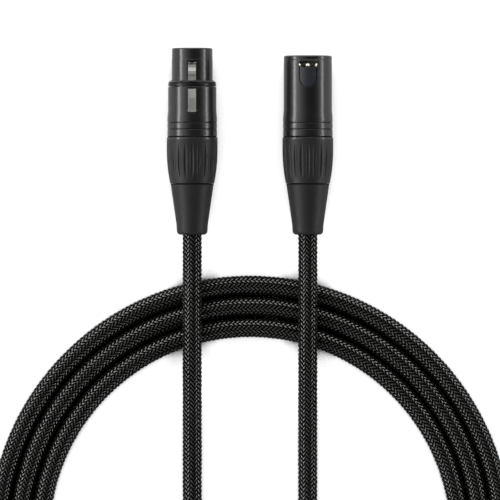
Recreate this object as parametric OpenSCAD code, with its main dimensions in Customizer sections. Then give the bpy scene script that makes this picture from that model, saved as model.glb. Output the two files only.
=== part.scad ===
// Microphone cable wound in a flat coil, with a three-pole socket plug and a three-pole pin plug.
// Millimetres. The two plugs lie side by side on the floor with their mating ends along +Y and
// their latch side up (+Z). The origin is on the floor, midway between the two plugs.

/* [Cable] */
// Outside diameter of the braided cable
cord_d = 7.4; // [6.6:0.1:7.6]
// Diameter of the sheath under the braid
sheath_d = 5.6; // [4.6:0.1:6]
// Diameter of an insulated conductor
conductor_d = 1.6; // [1.2:0.1:1.7]
// Diameter of the bare drain wire
drain_d = 1.2; // [0.8:0.1:1.5]

/* [Coil] */
// Radius of the innermost turn, measured to the middle of the cable
coil_r = 82.75; // [81:0.25:86]
// Distance between the middles of neighbouring turns
turn_pitch = 8.35; // [8.1:0.05:9]
// Number of whole turns, to which half a turn is added
whole_turns = 2; // [1:1:3]
// Distance from the boots' rear ends to the middle of the coil
coil_to_boot = 119.3; // [117:0.1:124]
// Width of the hook-and-loop tie, along the cable
tie_w = 16; // [10:1:25]
// Thickness of the tie's band
tie_t = 1.2; // [0.8:0.1:1.6]

/* [Plug body] */
// Distance between the axes of the two plugs
axis_spacing = 45.5; // [42:0.5:50]
// Diameter of the shell
shell_d = 19; // [18.8:0.1:19.4]
// Diameter of the shell's rear band
band_d = 19.5; // [19.2:0.1:19.8]
// Length of the shell's rear band
band_l = 7.3; // [7:0.1:9]
// Width of each groove round the rear band
groove_w = 0.5; // [0.3:0.1:0.8]
// Length of the socket plug's shell, from the gland nut to the mating end
socket_shell_l = 34.8; // [34:0.1:36]
// Length of the pin plug's shell, from the gland nut to the mating end
pin_shell_l = 31.8; // [31.5:0.1:33.5]
// Radius of the shell's bore, which holds the insert
bore_r = 7.25; // [7.15:0.05:7.35]

/* [Gland] */
// Largest diameter of the gland nut, on which the plug lies
nut_d = 20; // [19.9:0.1:21]
// Length of the gland nut
nut_l = 18.4; // [18:0.1:20]
// Diameter of the gland nut's rear end
nut_rear_d = 17.3; // [17.2:0.1:18]
// Number of flutes round the gland nut
flutes = 24; // [12:1:28]
// Length of each flute
flute_l = 13.5; // [10:0.5:14]
// Diameter of the shell's threaded spigot
spigot_d = 17.2; // [17:0.1:17.4]
// Length of the thread
thread_l = 5.2; // [4:0.1:5.4]

/* [Boot] */
// Length of the boot behind the gland nut
boot_l = 20.2; // [16:0.1:26]
// Diameter of the boot's rear end
boot_end_d = 12.1; // [11:0.1:13]
// Radius of the rounding round the boot's rear end
boot_round = 1.5; // [0.5:0.1:1.8]

/* [Socket plug] */
// Diameter of the nose that enters the other plug
nose_d = 16.1; // [15.9:0.05:16.2]
// Length of the nose
nose_l = 12.7; // [12:0.1:13]
// Width of the collar ring at the root of the nose
collar_w = 2.1; // [1.6:0.1:2.2]
// Width of the latch
latch_w = 3.1; // [2.5:0.1:3.5]
// Radius of the bore in a socket contact
socket_r = 1.22; // [1.2:0.01:1.3]
// Depth of the bore in a socket contact
socket_l = 10; // [8:0.5:12]

/* [Pin plug] */
// Diameter of the barrel's inside
barrel_d = 16.4; // [16.3:0.05:16.6]
// Depth of the barrel, from its rim to the insert
barrel_l = 13.4; // [13:0.1:14]
// Radius of a pin
pin_r = 1.19; // [1.15:0.01:1.2]
// Length of a pin in front of the insert
pin_l = 10.6; // [9:0.1:11]
// Radius of the circle on which the three pins stand
pin_circle_r = 3.8; // [3.6:0.05:3.9]
// Width of the latch window
window_w = 7.1; // [6:0.1:8]
// Length of the latch window, along the plug
window_l = 2.7; // [2.5:0.1:3]
// Width of the key, a rib along the bottom of the barrel
key_w = 2; // [1.4:0.1:2]
// Length of the key
key_l = 8; // [6:0.1:9]

/* [Hidden] */

// Clearances
slide_gap = 0.05;  // radial gap of a piece that turns or slides on another
seat_gap = 0.1;    // gap of a piece that is pushed into its seat
cord_gap = 0.1;    // radial gap between the cable and a bore that it runs through
tie_gap = 0.3;     // gap between the tie and the cable, above and below
tie_side_gap = 1.5;  // the same at the sides, where the turns curve under the band

// Small details
edge = 0.4;        // chamfer of a shell's rim
groove_depth = 0.3;
band_taper_l = 2.9;  // over this length the band runs out into the shell
fine = 96;         // steps round a turned piece
round_fn = 32;     // steps round a small rod
through = 1;       // how far a cut runs past what it cuts

// Stations along a plug, from the boot's rear end towards the mating end
nut_s = boot_l;
shell_s = nut_s + nut_l;
spigot_s = shell_s - thread_l;
socket_end_s = shell_s + socket_shell_l;
pin_end_s = shell_s + pin_shell_l;

// Radii of the shell
shell_r = shell_d / 2;
band_r = band_d / 2;
spigot_r = spigot_d / 2;
insert_r = bore_r - seat_gap;
lip_r = bore_r - 0.35;
lip_l = 0.5;

// Boot and gland nut
boot_neck_r = 6;
boot_neck_l = 1.7;
boot_flange_r = 7;
boot_flange_l = 2.5;
boot_bore_r = cord_d / 2 + cord_gap;
boot_front_s = boot_l + boot_neck_l + boot_flange_l;
nut_bulge_l = 12.7;    // length of the nut's curved rear part
nut_wall_l = 2;        // length of nut bore between the clamping cone and the thread
cone_rear_r = 5.85;    // small end of the nut's clamping cone
cone_front_r = 7.1;    // large end of the nut's clamping cone
flute_r = 1;
flute_end_depth = 0.05;
flute_end_gap = 2.75;  // from the flutes' front ends to the nut's front end

// Chuck, the collet that grips the cable
chuck_s = boot_front_s + 0.4;
chuck_r = bore_r - 0.15;
chuck_grip_r = cord_d / 2 + slide_gap;
chuck_sleeve_r = 5.7;  // inside radius of the sleeve in front of the grip
chuck_web_l = 0.6;
slit_w = 1;

// Insert and contacts
jacket_end_s = shell_s - 1.6;
sheath_end_s = jacket_end_s + 1.5;
skirt_s = shell_s + 5;
insert_s = skirt_s + 2.8;
skirt_r = 5.8;
chuck_end_s = skirt_s - seat_gap;
cup_r = 1.4;
cup_bore_r = max(conductor_d, drain_d) / 2 + seat_gap;
cup_s = skirt_s + 0.3;
cup_end_s = insert_s - seat_gap;
cup_depth = 2;
contact_r = 1.65;
contact_recess = 0.8;  // from the insert's face back to a contact's mouth
entry_r = 1.35;        // small end of the cone that leads a pin into a contact
entry_mouth_r = 1.6;

// Pin 1 and pin 2 stand level with the axis, pin 3 below it, a quarter turn apart
contact_places = [
    for (angle = [180, 0, 270])
        [pin_circle_r * cos(angle), pin_circle_r * sin(angle)]
];

// Socket plug
socket_face_s = socket_end_s - lip_l - slide_gap;
contact_front_s = socket_face_s - contact_recess;
nose_r = nose_d / 2;
nose_s = socket_end_s - nose_l;
nose_tip_r = nose_r - 0.05;
nose_tip_l = 4.5;
seat_r = nose_r + 0.37;
seat_l = 2.5;
collar_s = nose_s - 0.2 - collar_w;
collar_r = shell_r - 0.05;
collar_edge = 0.2;
collar_cone_l = 0.6;
collar_groove_l = 0.4;
collar_groove_depth = 0.35;

// Latch: a bent strip that turns on a cross pin behind the push tab
latch_t = 0.8;
latch_gap = 0.2;
latch_tab_z = shell_r - 0.2;
latch_tab_s = nose_s - 12.6;
latch_tab_end_s = nose_s - 3.4;
latch_dip_z = bore_r - 0.55;   // top of the arm where it passes under the bridge and the collar ring
latch_arm_s = nose_s - 0.2;
latch_arm_z = nose_r + 0.05;
latch_hook_s = nose_s + 2.3;
latch_hook_l = 1.2;
latch_hook_z = nose_r + 0.9;
latch_ramp_l = 1.4;
latch_notch_s = nose_s + 6;
latch_notch_l = 0.6;
latch_notch_depth = 1.3;
latch_tip_t = 1.7;
latch_tip_s = nose_s + 7;
latch_pivot_s = latch_tab_s + 0.5;
latch_pivot_z = 5.5;
latch_pin_r = 0.5;
latch_pin_l = 7.2;
latch_ribs = 6;
latch_rib_pitch = 0.8;
latch_rib_w = 0.35;
latch_rib_cut = 0.25;
slot_w = latch_w + 2 * latch_gap;
slot_s = latch_tab_s - 0.5;
slot_bridge_s = latch_tab_end_s + 0.5;  // here a bridge of the shell crosses the slot
slot_bridge_end_s = latch_arm_s - 1.1;
slot_end_s = latch_tip_s + 0.7;
channel_w = slot_w + 0.3;
channel_z = 4.4;
latch_eye_r = latch_pivot_z - channel_z - seat_gap;
channel_s = latch_pivot_s - latch_eye_r - latch_gap;
channel_end_s = latch_tip_s + 0.4;

// Latch spring: a small helix under the push tab
spring_s = latch_pivot_s + 4.9;
spring_curls = 5;
spring_coil_r = 1;
spring_wire_r = 0.15;
spring_low_z = channel_z + slide_gap;
spring_high_z = latch_tab_z - latch_t - slide_gap;

// Ground springs: bowed leaves in a pocket under each insert
leaf_w = 2.8;
leaf_l = 9;
leaf_t = 0.2;
leaf_bow = 0.3;
leaf_z = -insert_r + 0.55;
leaf_gap = 0.1;
socket_leaf_s = socket_face_s - 12;
pin_face_s = pin_end_s - barrel_l;
pin_leaf_s = pin_face_s - 10;

// Pin plug
barrel_r = barrel_d / 2;
pin_seat_s = pin_face_s - lip_l;
key_h = 0.7;
key_gap = 0.2;
mouth_r = barrel_r + 0.05;
mouth_l = 1.8;
rim_line_w = 0.3;
rim_line_depth = 0.12;
rim_line_s = pin_end_s - 1.7;
window_s = pin_end_s - 4.7;
plate_w = 6.3;
plate_l = 7.6;
plate_t = 0.3;
plate_curve_l = 3.6;
plate_gap = 0.35;

// Places of the plugs and the coil
axis_z = nut_d / 2;
boot_end_y = -socket_end_s / 2;
female_x = -axis_spacing / 2;
male_x = axis_spacing / 2;
coil_y = boot_end_y - coil_to_boot;
jacket_end_y = boot_end_y + jacket_end_s;

// Coil: angles run clockwise, seen from above, and 0 is along +X
steps_per_turn = 24;
coil_start_a = 190;
coil_sweep = 360 * (whole_turns + 0.5);
coil_steps = steps_per_turn * (whole_turns + 0.5);
entry_a = 20;          // over this angle the first turn comes in from the eye of the coil
entry_depth = 2.5;
floor_cut = cord_d / 10;
coil_z = cord_d / 2 - floor_cut;
tie_a = -90;
tie_rise_a = 40;       // the turns rise to the tie over this angle on each side of it
tie_inside_h = cord_d + 2 * tie_gap;
tie_rise = tie_t + tie_inside_h / 2 - coil_z;
tie_inside_w = turn_pitch + cord_d + 2 * tie_side_gap;
tie_tail_l = 14;

coil_sides = 6;
lead_sides = 12;
wire_sides = 8;

// Route of each lead, as [x, y, z] of the cable's middle, from the plug to the coil.
// It lies on the floor in the eye of the coil and passes over the turns in a long low hump.
function over_turns(x) = [
    [x, jacket_end_y, axis_z],
    [x, -20, axis_z],
    [x, -36, axis_z],
    [x, -44, axis_z],
    [x, -50, 10.3],
    [x, -56, 11],
    [x, -62, 11.5],
    [x, -68, 11.5],
    [x, -76, 11.5],
    [x, -84, 10.8],
    [x, -92, 9.3],
    [x, -99, 7.6],
    [x, -106, 5.9],
    [x, -114, 4.3],
    [x, -122, 3.2],
    [x, -140, 3]
];
female_route = [
    [-22.3, -151, 3],
    [-19.3, -160, 3],
    [-16.4, -169.3, 3],
    [-16.3, -179, 3],
    [-19.5, -188.3, 3],
    [-25.5, -196, 3],
    [-33.8, -201.4, 3],
    [-43.3, -203.8, 3],
    [-53.1, -203, 3],
    [-62.1, -199.1, 3],
    [-69.3, -192.5, 3]
];
male_route = [
    [male_x, -160, 3],
    [24, -170, 3],
    [27.5, -179, 3.3],
    [33.5, -187, 4.2],
    [41.5, -193.5, 5.9],
    [49.5, -197.3, 7.9],
    [58, -199.2, 9.8],
    [66.5, -199.2, 11],
    [75, -197.3, 11.4],
    [83, -193.5, 11.3],
    [90.5, -187.5, 10.4],
    [96.3, -179.5, 8.6],
    [99.8, -170.5, 6.2],
    [101.1, -161.5, 4]
];

function smooth(t) = t * t * (3 - 2 * t);
function unit(v) = v / norm(v);

// The coil's radius at an angle: each turn moves out by one pitch over the half turn below the X axis
function lap(a) = max(0, -a / 360);
function coil_radius(a) =
    coil_r
    + turn_pitch * (floor(lap(a)) + smooth(min(1, 2 * (lap(a) - floor(lap(a))))))
    - entry_depth * pow(max(0, (a - coil_start_a + entry_a) / entry_a), 2);
function from_tie(a) = abs((a - tie_a + 180 + 360 * 9) % 360 - 180);
function coil_height(a) = coil_z + tie_rise * pow(cos(90 * min(1, from_tie(a) / tie_rise_a)), 2);
function coil_point(a) = [
    coil_radius(a) * cos(a),
    coil_y + coil_radius(a) * sin(a),
    coil_height(a)
];
function heading(a) = unit(coil_point(a - 1) - coil_point(a));

coil_end_a = coil_start_a - coil_sweep;
coil_first = coil_point(coil_start_a) - cord_d * heading(coil_start_a);
coil_last = coil_point(coil_end_a) + cord_d * heading(coil_end_a);
coil_path = concat(
    [coil_first],
    [for (i = [0 : coil_steps]) coil_point(coil_start_a - i * coil_sweep / coil_steps)],
    [coil_last]
);
female_path = concat(
    over_turns(female_x),
    female_route,
    [coil_first - cord_d * heading(coil_start_a), coil_first]
);
male_path = concat(
    over_turns(male_x),
    male_route,
    [coil_last + cord_d * heading(coil_end_a), coil_last]
);

// A tube swept along a path: a ring of corners at each point, square to the path there, none below the floor
function path_direction(path, i) =
    unit(path[min(i + 1, len(path) - 1)] - path[max(i - 1, 0)]);
function ring(centre, direction, r, sides, low) =
    let (
        across = unit(cross(direction, [0, 0, 1])),
        up = cross(across, direction),
        turn = sides == coil_sides ? 0 : 180 / sides
    )
    [
        for (k = [0 : sides - 1])
            let (corner = centre + r * (cos(turn + 360 * k / sides) * across
                + sin(turn + 360 * k / sides) * up))
            [corner[0], corner[1], max(low, corner[2])]
    ];
function tube_rings(path, r, sides, low) =
    [for (i = [0 : len(path) - 1]) ring(path[i], path_direction(path, i), r, sides, low)];
function tube_faces(rings, sides) = concat(
    [[for (k = [0 : sides - 1]) k]],
    [
        for (i = [0 : rings - 2])
            for (k = [0 : sides - 1])
                let (a = i * sides + k, b = i * sides + (k + 1) % sides)
                for (face = [[a, a + sides, b], [b, a + sides, b + sides]])
                    face
    ],
    [[for (k = [sides - 1 : -1 : 0]) (rings - 1) * sides + k]]
);

module tube(path, r, sides, low = -1000) {
    rings = tube_rings(path, r, sides, low);
    polyhedron(points = [for (one = rings) each one], faces = tube_faces(len(path), sides));
}

// Least gap between two turns of the coil, over the corners of rings at least half a turn apart
coil_rings = tube_rings(coil_path, cord_d / 2, coil_sides, 0);
least_gap = min([
    for (i = [0 : len(coil_path) - 1])
        for (j = [i + steps_per_turn / 2 : 1 : len(coil_path) - 1])
            if (norm(coil_path[i] - coil_path[j]) < 3 * cord_d)
                for (p = coil_rings[i])
                    for (q = coil_rings[j])
                        norm(p - q)
]);
function path_length(path) = len(path) < 2 ? 0 :
    [for (i = [1 : len(path) - 1]) norm(path[i] - path[i - 1])] * [for (i = [1 : len(path) - 1]) 1];

echo(least_gap_of_coil_mm = least_gap);
echo(cable_length_mm = path_length(coil_path) + path_length(female_path) + path_length(male_path));

// Shapes about a plug's axis, which runs along +Y
module turned(profile) {
    rotate([-90, 0, 0]) rotate_extrude($fn = fine) polygon(profile);
}

module rod(r, from, to, place = [0, 0]) {
    translate([place[0], from, place[1]])
        rotate([-90, 0, 0])
            cylinder(r = r, h = to - from, $fn = round_fn);
}

module turned_at(place, profile) {
    translate([place[0], 0, place[1]]) turned(profile);
}

module cross_rod(r, length, s, z) {
    translate([-length / 2, s, z]) rotate([0, 90, 0]) cylinder(r = r, h = length, $fn = round_fn);
}

module block(w, from, to, low, high) {
    translate([-w / 2, from, low]) cube([w, to - from, high - low]);
}

// A side view, given as [station, height], with a width across the plug
module side_cut(outline, w) {
    translate([-w / 2, 0, 0]) rotate([90, 0, 90]) linear_extrude(w) polygon(outline);
}

module in_female() {
    translate([female_x, boot_end_y, axis_z]) children();
}

module in_male() {
    translate([male_x, boot_end_y, axis_z]) children();
}

function groove(r, s) = [[r, s - groove_w / 2], [r - groove_depth, s], [r, s + groove_w / 2]];

// Outside of a shell's rear half, the same on both plugs
shell_rear = concat(
    [[bore_r, spigot_s], [spigot_r - edge, spigot_s], [spigot_r, spigot_s + edge]],
    [[spigot_r, shell_s], [band_r - edge / 2, shell_s], [band_r, shell_s + edge / 2]],
    groove(band_r, shell_s + 2.9),
    groove(band_r, shell_s + 5.5),
    [[band_r, shell_s + band_l], [shell_r, shell_s + band_l + band_taper_l]]
);

// Outline of the window plate and of its pocket, as [across, station]
function shield(grow) = concat(
    [[plate_w / 2 + grow, window_s + grow], [-plate_w / 2 - grow, window_s + grow]],
    [
        for (a = [180 : 15 : 360])
            [
                (plate_w / 2 + grow) * cos(a),
                window_s - plate_l + plate_curve_l + (plate_curve_l + grow) * sin(a)
            ]
    ]
);

module shield_slab(grow, low, high) {
    translate([0, 0, low]) linear_extrude(high - low) polygon(shield(grow));
}

// Cable

module cable_coil() {
    color("black") tube(coil_path, cord_d / 2, coil_sides, 0);
}

module female_lead() {
    color("black") tube(female_path, cord_d / 2, lead_sides, 0);
}

module male_lead() {
    color("black") tube(male_path, cord_d / 2, lead_sides, 0);
}

function stadium(w, h) = [
    for (side = [-1, 1])
        for (a = [0 : 15 : 180])
            [side * ((w - h) / 2 + h / 2 * sin(a)), -side * h / 2 * cos(a)]
];

// The tie goes round the turns that pass the bottom of the coil and lies on itself on top
module coil_tie() {
    middle_r = coil_r + turn_pitch * whole_turns / 2;
    inside_w = tie_inside_w + turn_pitch * (whole_turns - 2);
    inside_h = tie_inside_h;
    color("dimgray")
        translate([-tie_w / 2, coil_y - middle_r, tie_t + inside_h / 2])
            rotate([90, 0, 90])
                linear_extrude(tie_w)
                    union() {
                        difference() {
                            polygon(stadium(inside_w + 2 * tie_t, inside_h + 2 * tie_t));
                            polygon(stadium(inside_w, inside_h));
                        }
                        translate([-tie_tail_l / 2, inside_h / 2 + tie_t / 2])
                            square([tie_tail_l, 1.5 * tie_t]);
                    }
}

// Pieces that both plugs have

module boot() {
    end_r = boot_end_d / 2;
    front_r = nut_rear_d / 2 - 0.15;
    turned(concat(
        [[boot_bore_r, 0]],
        [
            for (a = [-90 : 15 : 0])
                [end_r - boot_round + boot_round * cos(a), boot_round + boot_round * sin(a)]
        ],
        [
            [end_r + 0.06 * (front_r - end_r), 0.2 * boot_l],
            [end_r + 0.5 * (front_r - end_r), 0.58 * boot_l],
            [front_r, boot_l - slide_gap]
        ],
        [[boot_neck_r, boot_l - slide_gap], [boot_neck_r, boot_l + boot_neck_l]],
        [[boot_flange_r, boot_l + boot_neck_l], [boot_flange_r, boot_front_s]],
        [[boot_bore_r, boot_front_s]]
    ));
}

// The nut's outside swells from its rear end in an arc that ends along the axis
nut_drop = (nut_d - nut_rear_d) / 2;
nut_arc_r = (nut_bulge_l * nut_bulge_l + nut_drop * nut_drop) / (2 * nut_drop);
function nut_radius(s) =
    nut_d / 2 - nut_arc_r
    + sqrt(nut_arc_r * nut_arc_r - pow(max(0, nut_s + nut_bulge_l - s), 2));

module gland_nut() {
    rear_s = nut_s + slide_gap;
    front_s = shell_s - slide_gap;
    pocket_s = boot_l + boot_neck_l - 0.2;
    pocket_r = boot_flange_r + seat_gap;
    cone_s = boot_front_s + seat_gap;
    cone_end_s = spigot_s - nut_wall_l;
    difference() {
        turned(concat(
            [[boot_neck_r + seat_gap, rear_s]],
            [for (t = [0 : 1 / 8 : 1]) [nut_radius(rear_s + t * nut_bulge_l), rear_s + t * nut_bulge_l]],
            [[nut_d / 2, front_s - edge], [nut_d / 2 - edge, front_s]],
            [[spigot_r + slide_gap, front_s], [spigot_r + slide_gap, spigot_s - 0.2]],
            [[cone_front_r + 0.15, spigot_s - 0.2], [cone_front_r + 0.15, cone_end_s]],
            [[cone_front_r, cone_end_s], [cone_rear_r, cone_s], [pocket_r, cone_s]],
            [[pocket_r, pocket_s], [boot_neck_r + seat_gap, pocket_s]]
        ));
        flute_cuts();
    }
}

// A straight round cutter along each flute bites deepest where the nut bulges, so the flute tapers out
module flute_cuts() {
    front_s = shell_s - flute_end_gap;
    rear_s = front_s - flute_l;
    tilt = atan((nut_radius(front_s) - nut_radius(rear_s)) / flute_l);
    for (k = [0 : flutes - 1])
        rotate([0, 360 * k / flutes, 0])
            translate([0, rear_s, nut_radius(rear_s) + flute_r - flute_end_depth])
                rotate([tilt - 90, 0, 0])
                    cylinder(r = flute_r, h = flute_l / cos(tilt), $fn = round_fn);
}

module chuck() {
    cone_s = boot_front_s + seat_gap;
    cone_end_s = spigot_s - nut_wall_l;
    side_gap = 0.15;
    difference() {
        turned([
            [chuck_grip_r, chuck_s],
            [cone_rear_r - side_gap, chuck_s],
            [cone_front_r - side_gap, cone_end_s],
            [chuck_r, cone_end_s + 0.5],
            [chuck_r, chuck_end_s],
            [chuck_sleeve_r, chuck_end_s],
            [chuck_sleeve_r, jacket_end_s + chuck_web_l],
            [chuck_grip_r, jacket_end_s]
        ]);
        for (turn = [0, 90])
            rotate([0, turn, 0])
                block(slit_w, cone_s - through, spigot_s - 0.5, -chuck_r - through, chuck_r + through);
    }
}

module inner_sheath() {
    rod(sheath_d / 2, jacket_end_s, sheath_end_s);
}

// A wire leaves the sheath's end, spreads and runs straight into the cup of its contact
module wire(index, r) {
    place = contact_places[index];
    inner = 1.5 / pin_circle_r;
    tube([
        [place[0] * inner, sheath_end_s, place[1] * inner],
        [place[0] * inner, sheath_end_s + 1, place[1] * inner],
        [place[0] * 0.6, sheath_end_s + 2.4, place[1] * 0.6],
        [place[0] * 0.9, sheath_end_s + 3.8, place[1] * 0.9],
        [place[0], sheath_end_s + 4.8, place[1]],
        [place[0], cup_s + cup_depth - seat_gap, place[1]]
    ], r, wire_sides);
}

// A bowed leaf whose ends lie on the floor of the insert's pocket
module ground_leaf(s) {
    steps = 6;
    function bow(t) = leaf_z - leaf_bow * sin(180 * t);
    side_cut(concat(
        [for (i = [0 : steps]) [s + leaf_l * i / steps, bow(i / steps)]],
        [for (i = [steps : -1 : 0]) [s + leaf_l * i / steps, bow(i / steps) - leaf_t]]
    ), leaf_w);
}

module leaf_pocket(s) {
    block(leaf_w + 2 * leaf_gap, s - leaf_gap, s + leaf_l + leaf_gap, -bore_r - through, leaf_z + leaf_gap);
}

solder_cup = [
    [0, cup_s + cup_depth],
    [cup_bore_r, cup_s + cup_depth],
    [cup_bore_r, cup_s],
    [cup_r, cup_s]
];

module insert_blank(face_s) {
    turned([
        [0, insert_s],
        [skirt_r, insert_s],
        [skirt_r, skirt_s],
        [insert_r, skirt_s],
        [insert_r, face_s],
        [0, face_s]
    ]);
}

// Socket plug

module female_shell() {
    key_slot_s = socket_end_s - key_l - key_gap;
    color("black") in_female() difference() {
        turned(concat(
            shell_rear,
            [[shell_r, nose_s - seat_l - edge / 2], [shell_r - edge / 2, nose_s - seat_l]],
            [[seat_r, nose_s - seat_l], [seat_r, nose_s]],
            [[nose_r, nose_s], [nose_r, socket_end_s - nose_tip_l]],
            [[nose_tip_r, socket_end_s - nose_tip_l], [nose_tip_r, socket_end_s - edge]],
            [[nose_tip_r - edge, socket_end_s], [lip_r, socket_end_s]],
            [[lip_r, socket_end_s - lip_l], [bore_r, socket_end_s - lip_l]]
        ));
        block(slot_w, slot_s, slot_bridge_s, channel_z, shell_d);
        block(slot_w, slot_bridge_end_s, slot_end_s, channel_z, shell_d);
        block(key_w + 2 * key_gap, key_slot_s, socket_end_s + through, -shell_d, 1 - lip_r);
    }
}

module female_collar_ring() {
    end_s = collar_s + collar_w;
    groove_s = collar_s + 0.57 * collar_w;
    color("black") in_female() turned([
        [seat_r + slide_gap, collar_s],
        [collar_r - collar_edge, collar_s],
        [collar_r, collar_s + collar_edge],
        [collar_r, groove_s - collar_groove_l / 2],
        [collar_r - collar_groove_depth, groove_s],
        [collar_r, groove_s + collar_groove_l / 2],
        [collar_r, end_s - collar_cone_l],
        [seat_r + collar_edge, end_s],
        [seat_r + slide_gap, end_s]
    ]);
}

// A hole in the insert's face that narrows towards the mouth of a contact
module contact_entry(place) {
    slope = (entry_mouth_r - entry_r) / contact_recess;
    turned_at(place, [
        [0, contact_front_s - through],
        [entry_r - slope * through, contact_front_s - through],
        [entry_mouth_r + slope * through, socket_face_s + through],
        [0, socket_face_s + through]
    ]);
}

module female_insert() {
    color("darkslategray") in_female() difference() {
        insert_blank(socket_face_s);
        for (place = contact_places) {
            rod(contact_r + slide_gap, insert_s - through, contact_front_s, place);
            contact_entry(place);
        }
        block(channel_w, channel_s, channel_end_s, channel_z, shell_d);
        cross_rod(latch_pin_r + slide_gap, 2 * bore_r, latch_pivot_s, latch_pivot_z);
        leaf_pocket(socket_leaf_s);
    }
}

module female_contact(index) {
    color("gold") in_female() turned_at(contact_places[index], concat(
        solder_cup,
        [[cup_r, cup_end_s], [contact_r, cup_end_s], [contact_r, contact_front_s]],
        [[socket_r, contact_front_s], [socket_r, contact_front_s - socket_l]],
        [[0, contact_front_s - socket_l]]
    ));
}

module female_latch() {
    tab_low_z = latch_tab_z - latch_t;
    arm_low_z = latch_arm_z - latch_t;
    rear_s = latch_pivot_s - latch_eye_r;
    first_rib_s = latch_tab_s + latch_rib_pitch;
    notch_z = latch_arm_z - latch_notch_depth;
    color("silver") in_female() difference() {
        union() {
            cross_rod(latch_eye_r, latch_w, latch_pivot_s, latch_pivot_z);
            side_cut([
                [rear_s + 0.1, latch_pivot_z],
                [latch_tab_s - 0.1, latch_tab_z - 0.3],
                [latch_tab_s + 0.2, latch_tab_z],
                [latch_tab_end_s - 0.2, latch_tab_z],
                [latch_tab_end_s, latch_tab_z - 0.2],
                [latch_tab_end_s, latch_dip_z],
                [latch_arm_s - 0.6, latch_dip_z],
                [latch_arm_s, latch_arm_z],
                [latch_hook_s, latch_arm_z],
                [latch_hook_s, latch_hook_z],
                [latch_hook_s + latch_hook_l, latch_hook_z],
                [latch_hook_s + latch_hook_l + latch_ramp_l, latch_arm_z],
                [latch_notch_s, latch_arm_z],
                [latch_notch_s, notch_z],
                [latch_notch_s + latch_notch_l, notch_z],
                [latch_notch_s + latch_notch_l, latch_arm_z],
                [latch_tip_s, latch_arm_z],
                [latch_tip_s, latch_arm_z - latch_tip_t],
                [latch_notch_s - latch_t, latch_arm_z - latch_tip_t],
                [latch_notch_s - latch_t, arm_low_z],
                [latch_arm_s + 0.3, arm_low_z],
                [latch_arm_s - 0.3, latch_dip_z - latch_t],
                [latch_tab_end_s - latch_t, latch_dip_z - latch_t],
                [latch_tab_end_s - latch_t, tab_low_z],
                [latch_tab_s + latch_t, tab_low_z],
                [latch_pivot_s + 0.4, latch_pivot_z]
            ], latch_w);
        }
        cross_rod(latch_pin_r + slide_gap, slot_w, latch_pivot_s, latch_pivot_z);
        for (i = [0 : latch_ribs - 1])
            translate([0, first_rib_s + i * latch_rib_pitch, 0])
                block(latch_w - 0.8, 0, latch_rib_w, latch_tab_z - latch_rib_cut, latch_tab_z + through);
        block(0.45 * latch_w, latch_notch_s, latch_tip_s + through, notch_z, latch_arm_z + through);
    }
}

module female_latch_pin() {
    color("silver") in_female() cross_rod(latch_pin_r, latch_pin_l, latch_pivot_s, latch_pivot_z);
}

module female_latch_spring() {
    rings_per_curl = 8;
    steps = spring_curls * rings_per_curl;
    low = spring_low_z + spring_wire_r;
    high = spring_high_z - spring_wire_r;
    color("silver") in_female() translate([0, spring_s, 0])
        tube([
            for (i = [0 : steps])
                [
                    spring_coil_r * cos(360 * i / rings_per_curl),
                    spring_coil_r * sin(360 * i / rings_per_curl),
                    low + (high - low) * i / steps
                ]
        ], spring_wire_r, coil_sides);
}

module female_ground_spring() {
    color("silver") in_female() ground_leaf(socket_leaf_s);
}

// Pin plug

module male_shell() {
    color("black") in_male() {
        pin_shell_body();
        intersection() {
            block(key_w, pin_face_s, pin_face_s + key_l, -barrel_r - key_h, key_h - barrel_r);
            rod(barrel_r + key_h / 2, pin_face_s, pin_face_s + key_l);
        }
    }
}

module pin_shell_body() {
    difference() {
        turned(concat(
            shell_rear,
            [[shell_r, rim_line_s - rim_line_w / 2], [shell_r - rim_line_depth, rim_line_s]],
            [[shell_r, rim_line_s + rim_line_w / 2]],
            [[shell_r, pin_end_s - edge], [shell_r - edge, pin_end_s]],
            [[mouth_r, pin_end_s], [mouth_r, pin_end_s - mouth_l]],
            [[barrel_r, pin_end_s - mouth_l], [barrel_r, pin_face_s]],
            [[lip_r, pin_face_s], [lip_r, pin_face_s - lip_l]],
            [[bore_r, pin_face_s - lip_l]]
        ));
        block(window_w, window_s, window_s + window_l, 0, shell_d);
        difference() {
            shield_slab(plate_gap, 0, shell_d);
            rod(shell_r - plate_t - plate_gap, window_s - 2 * plate_l, window_s + plate_l);
        }
    }
}

module male_window_plate() {
    color("black") in_male() intersection() {
        shield_slab(0, 0, shell_d);
        difference() {
            rod(shell_r, window_s - 2 * plate_l, window_s + plate_l);
            rod(shell_r - plate_t, window_s - 2 * plate_l - through, window_s + plate_l + through);
        }
    }
}

module male_insert() {
    color("darkslategray") in_male() difference() {
        insert_blank(pin_seat_s - slide_gap);
        for (place = contact_places)
            rod(cup_r + slide_gap, insert_s - through, pin_face_s, place);
        leaf_pocket(pin_leaf_s);
    }
}

module male_pin(index) {
    round_s = pin_face_s + pin_l - pin_r;
    color("gold") in_male() turned_at(contact_places[index], concat(
        solder_cup,
        [[cup_r, pin_seat_s], [pin_r, pin_seat_s]],
        [for (a = [0 : 15 : 90]) [pin_r * cos(a), round_s + pin_r * sin(a)]]
    ));
}

module male_ground_spring() {
    color("silver") in_male() ground_leaf(pin_leaf_s);
}

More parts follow.
